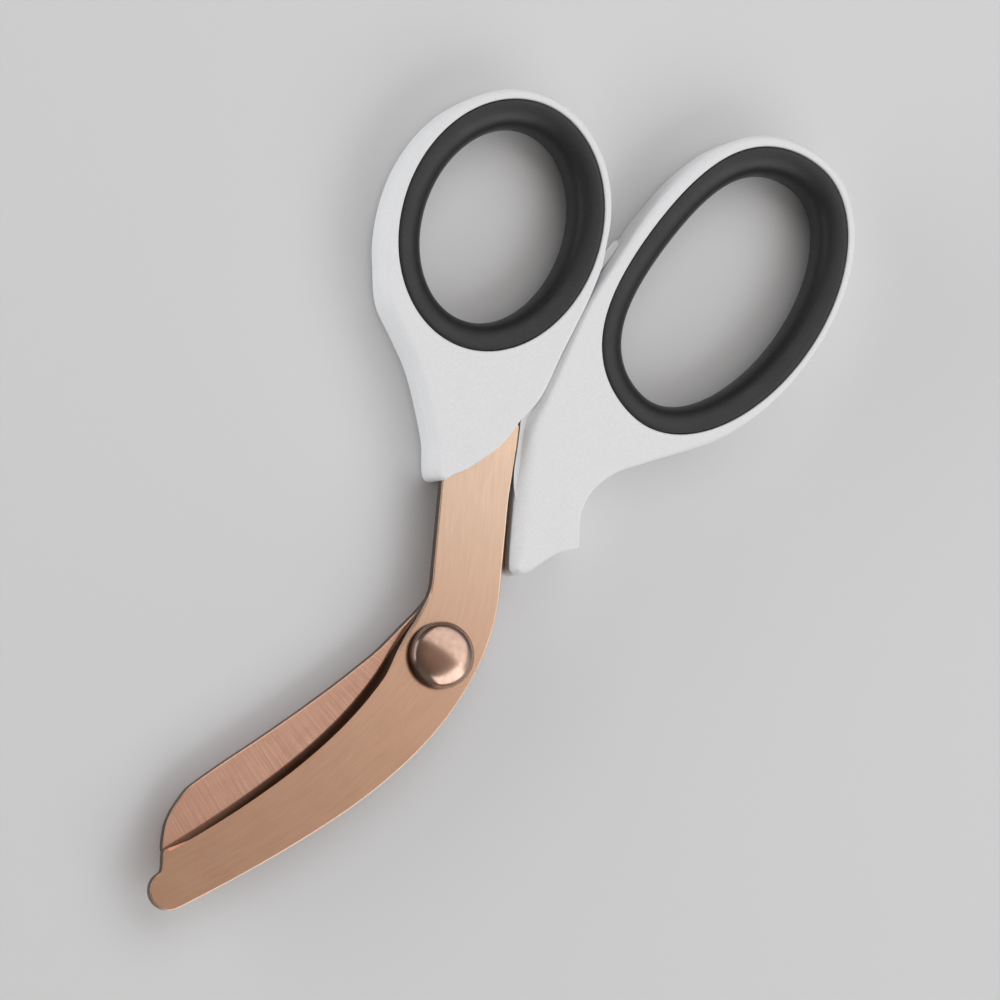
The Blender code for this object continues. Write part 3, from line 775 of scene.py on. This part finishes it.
class Look:
    """A small helper for building a node material round one Principled shader."""

    def __init__(self, name):
        self.material = bpy.data.materials.new(name)
        self.material.use_nodes = True
        self.tree = self.material.node_tree
        self.shader = self.tree.nodes["Principled BSDF"]

    def node(self, kind, **values):
        made = self.tree.nodes.new(kind)
        for key, value in values.items():
            if key in made.inputs:
                made.inputs[key].default_value = value
            else:
                setattr(made, key, value)
        return made

    def link(self, source, target):
        self.tree.links.new(source, target)

    def stretched(self, source, scale):
        """The source coordinates, stretched."""
        place = self.node("ShaderNodeMapping")
        place.inputs["Scale"].default_value = scale
        self.link(source, place.inputs["Vector"])
        return place.outputs["Vector"]

    def noise(self, vector, scale, detail, roughness=0.5):
        made = self.node("ShaderNodeTexNoise", Scale=scale, Detail=detail, Roughness=roughness)
        self.link(vector, made.inputs["Vector"])
        return made.outputs["Fac"]

    def ramp(self, source, *limits):
        """The source, carried from the first two limits to the last two."""
        made = self.node("ShaderNodeMapRange")
        for key, value in zip(RANGE_SOCKETS, limits):
            made.inputs[key].default_value = value
        self.link(source, made.inputs["Value"])
        return made.outputs["Result"]

    def math(self, operation, a, b):
        made = self.node("ShaderNodeMath", operation=operation)
        for k, value in enumerate((a, b)):
            if isinstance(value, (int, float)):
                made.inputs[k].default_value = value
            else:
                self.link(value, made.inputs[k])
        return made.outputs["Value"]

    def mix(self, factor, a, b):
        made = self.node("ShaderNodeMix", data_type="RGBA")
        self.link(factor, made.inputs["Factor"])
        for key, value in (("A", a), ("B", b)):
            socket = next(s for s in made.inputs if s.name == key and s.type == "RGBA")
            if isinstance(value, tuple):
                socket.default_value = (*value, 1.0)
            else:
                self.link(value, socket)
        return next(s for s in made.outputs if s.type == "RGBA")

    def shade(self, colour, factor):
        made = self.node("ShaderNodeVectorMath", operation="SCALE")
        self.link(colour, made.inputs["Vector"])
        self.link(factor, made.inputs["Scale"])
        return made.outputs["Vector"]

    def bump(self, height, strength, distance):
        made = self.node("ShaderNodeBump", Strength=strength, Distance=distance)
        self.link(height, made.inputs["Height"])
        return made.outputs["Normal"]

    def set(self, **values):
        for key, value in values.items():
            socket = self.shader.inputs[key.replace("_", " ")]
            if isinstance(value, bpy.types.NodeSocket):
                self.link(value, socket)
            elif isinstance(value, tuple):
                socket.default_value = (*value, 1.0)
            else:
                socket.default_value = value


def along_coordinates(look):
    return look.node("ShaderNodeUVMap", uv_map="along").outputs["UV"]


def object_coordinates(look):
    return look.node("ShaderNodeTexCoord").outputs["Object"]


def brushed_steel(name, colour, painted_light_colour, fade, grain, contrast, depth):
    """Coated steel, whose colour changes towards the handles as painted light.

    Grain is how fine the brushing is along and across, and fade where the colour changes."""
    look = Look(name)
    uv = along_coordinates(look)
    fine = look.noise(look.stretched(uv, (*grain, 1.0)), 1.0, 3.0, 0.65)
    cloud = look.noise(look.stretched(uv, (0.13, 0.5, 1.0)), 1.0, 4.0, 0.6)
    split = look.node("ShaderNodeSeparateXYZ")
    look.link(uv, split.inputs["Vector"])
    drift = look.math("ADD", split.outputs["X"], look.math("MULTIPLY", cloud, 16.0))
    # Painted light: the colour runs from the tip colour to the colour given for the handle end,
    # for how the blade catches the light along its length
    tone = look.mix(look.ramp(drift, *fade, 1.0, 0.0), colour, painted_light_colour)
    mottle = look.ramp(cloud, 0.35, 0.65, 1.0, 0.96)
    streak = look.ramp(fine, 0.38, 0.62, 1.0, 1 - contrast)
    tangent = look.node("ShaderNodeTangent", direction_type="UV_MAP", uv_map="along")
    look.set(
        Base_Color=look.shade(tone, look.math("MULTIPLY", streak, mottle)),
        Metallic=1.0,
        Roughness=look.ramp(cloud, 0.3, 0.7, 0.22, 0.27),
        Anisotropic=0.35,
        Tangent=tangent.outputs["Tangent"],
        Normal=look.bump(fine, 0.3, depth),
    )
    return look.material


def sheared_and_shaded_steel():
    """Dull side walls that punching leaves, coloured darker partly as painted shade along the
    blades' edges.
    """
    look = Look("sheared_wall_painted_shade")
    uv = along_coordinates(look)
    grain = look.noise(look.stretched(uv, (5.0, 0.8, 1.0)), 1.0, 3.0)
    share = look.ramp(grain, 0.3, 0.7, 0, 1)
    look.set(
        # Partly painted shade: the walls are this dark to show the shade along the blades' edges
        Base_Color=look.mix(share, (0.20, 0.15, 0.12), (0.13, 0.10, 0.085)),
        Metallic=1.0,
        Roughness=0.42,
        Normal=look.bump(grain, 0.4, 0.00002),
    )
    return look.material


def bevel_steel():
    """A painted dark reflection laid in the ground bevel."""
    look = Look("ground_bevel_painted_dark")
    uv = along_coordinates(look)
    grain = look.noise(look.stretched(uv, (2.4, 0.3, 1.0)), 1.0, 2.0)
    share = look.ramp(grain, 0.3, 0.7, 0, 1)
    look.set(
        Base_Color=look.mix(share, (0.075, 0.040, 0.022), (0.05, 0.026, 0.014)),
        Metallic=1.0,
        Roughness=0.30,
        Normal=look.bump(grain, 0.3, 0.00001),
    )
    return look.material


def polished_copper():
    """Polished metal, with painted shade that darkens it towards the head's rim."""
    look = Look("polished_copper")
    place = object_coordinates(look)
    marks = look.noise(look.stretched(place, (900.0, 900.0, 250.0)), 1.0, 3.0)
    radius = look.node("ShaderNodeVectorMath", operation="LENGTH")
    look.link(look.stretched(place, (1.0, 1.0, 0.0)), radius.inputs["Vector"])
    tone = look.mix(look.ramp(marks, 0.3, 0.7, 0, 1), (0.54, 0.37, 0.29), (0.48, 0.32, 0.25))
    # Painted shade: the colour falls to 0.3 at the head's rim, for the shadow of the gap under the
    # head
    rim = look.ramp(radius.outputs["Value"], 0.0056, 0.0061, 1.0, 0.3)
    look.set(
        Base_Color=look.shade(tone, rim),
        Metallic=1.0,
        Roughness=look.ramp(marks, 0.3, 0.7, 0.17, 0.23),
        Normal=look.bump(marks, 0.15, 0.00001),
    )
    return look.material


def pale_plastic():
    """Satin moulded plastic with a fine grain."""
    look = Look("pale_plastic")
    place = object_coordinates(look)
    grain = look.noise(place, 3600.0, 3.0)
    cloud = look.noise(place, 60.0, 3.0)
    share = look.ramp(grain, 0.35, 0.65, 0, 1)
    look.set(
        Base_Color=look.mix(share, (0.90, 0.90, 0.903), (0.84, 0.841, 0.844)),
        Roughness=look.ramp(cloud, 0.3, 0.7, 0.40, 0.48),
        Specular_IOR_Level=0.25,
        Normal=look.bump(grain, 0.25, 0.00002),
    )
    return look.material


def soft_rubber():
    """Matt, almost black rubber."""
    look = Look("soft_rubber")
    place = object_coordinates(look)
    grain = look.noise(place, 4200.0, 3.0, 0.6)
    cloud = look.noise(place, 220.0, 3.0)
    share = look.ramp(grain, 0.35, 0.65, 0, 1)
    look.set(
        Base_Color=look.mix(share, (0.009, 0.009, 0.010), (0.020, 0.020, 0.021)),
        Roughness=look.ramp(cloud, 0.3, 0.7, 0.40, 0.48),
        Specular_IOR_Level=0.5,
        Normal=look.bump(grain, 0.3, 0.00003),
    )
    return look.material


def washer_brass():
    look = Look("washer_brass")
    marks = look.noise(object_coordinates(look), 2500.0, 3.0)
    look.set(
        Base_Color=look.mix(marks, (0.46, 0.34, 0.18), (0.34, 0.24, 0.12)),
        Metallic=1.0,
        Roughness=0.34,
    )
    return look.material


def dress(piece, body, slot, node, *looks):
    """Gives a piece its materials and its body, and hides the CAD node that it stands for."""
    for look in looks:
        piece.data.materials.append(look)
    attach(piece, body)
    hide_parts(node)


def camera():
    """The photograph's view: a long lens one metre away, 19 degrees off the scissors' face."""
    towards = Vector((-0.2342, -0.2261, 0.9455)).normalized()
    up = Vector((-0.5733, 0.8175, 0.0535))
    right = up.cross(towards).normalized()
    up = towards.cross(right).normalized()
    target = Vector((-5.87, 31.06, 5.5)) * MM
    made = bpy.data.objects.new("camera", bpy.data.cameras.new("camera"))
    made.data.sensor_width = 36.0
    made.data.lens = 193.7
    made.matrix_world = Matrix((
        (right.x, up.x, towards.x, target.x + towards.x),
        (right.y, up.y, towards.y, target.y + towards.y),
        (right.z, up.z, towards.z, target.z + towards.z),
        (0.0, 0.0, 0.0, 1.0),
    ))
    bpy.context.scene.collection.objects.link(made)
    bpy.context.scene.camera = made


def softbox(name, place, aim, width, height, power):
    lamp = bpy.data.lights.new(name, "AREA")
    lamp.shape = "RECTANGLE"
    lamp.size, lamp.size_y = width, height
    lamp.energy = power
    lamp.color = LAMP_COLOUR
    obj = bpy.data.objects.new(name, lamp)
    obj.location = place
    obj.rotation_euler = (Vector(place) - Vector(aim)).to_track_quat("Z", "Y").to_euler()
    bpy.context.scene.collection.objects.link(obj)
    return obj


def studio():
    """A pale table under four soft lamps, in a dim room."""
    half, low = 4.0, -0.0002
    corners = [(half * x, half * y, low) for x, y in ((-1, -1), (1, -1), (1, 1), (-1, 1))]
    mesh = bpy.data.meshes.new("table")
    mesh.from_pydata(corners, [], [(0, 1, 2, 3)])
    table = bpy.data.objects.new("table", mesh)
    bpy.context.scene.collection.objects.link(table)
    look = Look("table_white")
    cloud = look.noise(object_coordinates(look), 3.0, 2.0)
    look.set(
        Base_Color=look.mix(cloud, (0.76, 0.76, 0.76), (0.74, 0.74, 0.74)),
        Roughness=0.7,
        Specular_IOR_Level=0.2,
    )
    mesh.materials.append(look.material)
    # The low lamp lights the side walls and would show as a bar in the blades
    for name, *rest in LAMPS:
        softbox(name, *rest).visible_glossy = name != "low"
    room()


def room():
    """Surroundings that are palest half way up, with a warmer ceiling and three dim sides."""
    world = bpy.data.worlds.new("room")
    bpy.context.scene.world = world
    world.use_nodes = True
    tree = world.node_tree
    place = tree.nodes.new("ShaderNodeTexCoord")
    split = tree.nodes.new("ShaderNodeSeparateXYZ")
    tree.links.new(place.outputs["Generated"], split.inputs["Vector"])
    shades = tree.nodes.new("ShaderNodeValToRGB")
    shades.color_ramp.interpolation = "EASE"
    stops = shades.color_ramp.elements
    while len(stops) < len(ROOM_SHADES):
        stops.new(0.5)
    for stop, (position, colour) in zip(stops, ROOM_SHADES):
        stop.position = position
        stop.color = (*colour, 1.0)
    tree.links.new(split.outputs["Z"], shades.inputs["Fac"])
    tree.links.new(shades.outputs["Color"], tree.nodes["Background"].inputs["Color"])
    shares = []
    for axis, *limits in ROOM_SIDES:
        side = tree.nodes.new("ShaderNodeMapRange")
        side.interpolation_type = "SMOOTHSTEP"
        for key, value in zip(RANGE_SOCKETS, limits):
            side.inputs[key].default_value = value
        tree.links.new(split.outputs[axis], side.inputs["Value"])
        shares.append(side.outputs["Result"])
    strength = shares[0]
    for share in shares[1:]:
        both = tree.nodes.new("ShaderNodeMath")
        both.operation = "MULTIPLY"
        tree.links.new(strength, both.inputs[0])
        tree.links.new(share, both.inputs[1])
        strength = both.outputs["Value"]
    tree.links.new(strength, tree.nodes["Background"].inputs["Strength"])


def main():
    bpy.context.scene.view_settings.view_transform = "Standard"
    camera()
    # Painted light in both steels: the front blade paler at its neck as a painted highlight, the
    # back blade darker near the pivot as painted shade
    steel = brushed_steel(
        "coppered_steel", colour=(0.81, 0.525, 0.375), painted_light_colour=(0.80, 0.595, 0.45),
        fade=(-22.0, 12.0), grain=(0.12, 1.6), contrast=0.05, depth=0.0000002,
    )
    cross = brushed_steel(
        "coppered_steel_cross", colour=(0.99, 0.625, 0.478), painted_light_colour=(0.83, 0.512, 0.382),
        fade=(16.0, 46.0), grain=(2.6, 0.08), contrast=0.16, depth=0.000002,
    )
    bevel = bevel_steel()
    wall = sheared_and_shaded_steel()
    polished = polished_copper()
    brass = washer_brass()
    rubber = soft_rubber()
    plastic = pale_plastic()

    dress(front_blade((steel, bevel, wall)), "thumb_half", "blade_steel", "front_blade")
    dress(back_blade((cross, bevel, wall)), "finger_half", "blade_steel", "back_blade")
    dress(thumb_handle(), "thumb_half", "handle_plastic", "thumb_handle", plastic)
    dress(finger_handle(), "finger_half", "handle_plastic", "finger_handle", plastic)
    thumb_liner = liner("thumb_liner_flared", THUMB_HOLE, THUMB_SEAT)
    finger_liner = liner("finger_liner_flared", FINGER_HOLE, FINGER_SEAT)
    dress(thumb_liner, "thumb_half", "liner_rubber", "thumb_ring_grip", rubber)
    dress(finger_liner, "finger_half", "liner_rubber", "finger_ring_grip", rubber)
    dress(pivot_screw(), "finger_half", "pivot_metal", "pivot_screw", polished)
    dress(pivot_nut(), "finger_half", "pivot_metal", "pivot_nut", polished)
    dress(friction_washer(), "finger_half", "washer_metal", "friction_washer", brass)
    studio()


main()
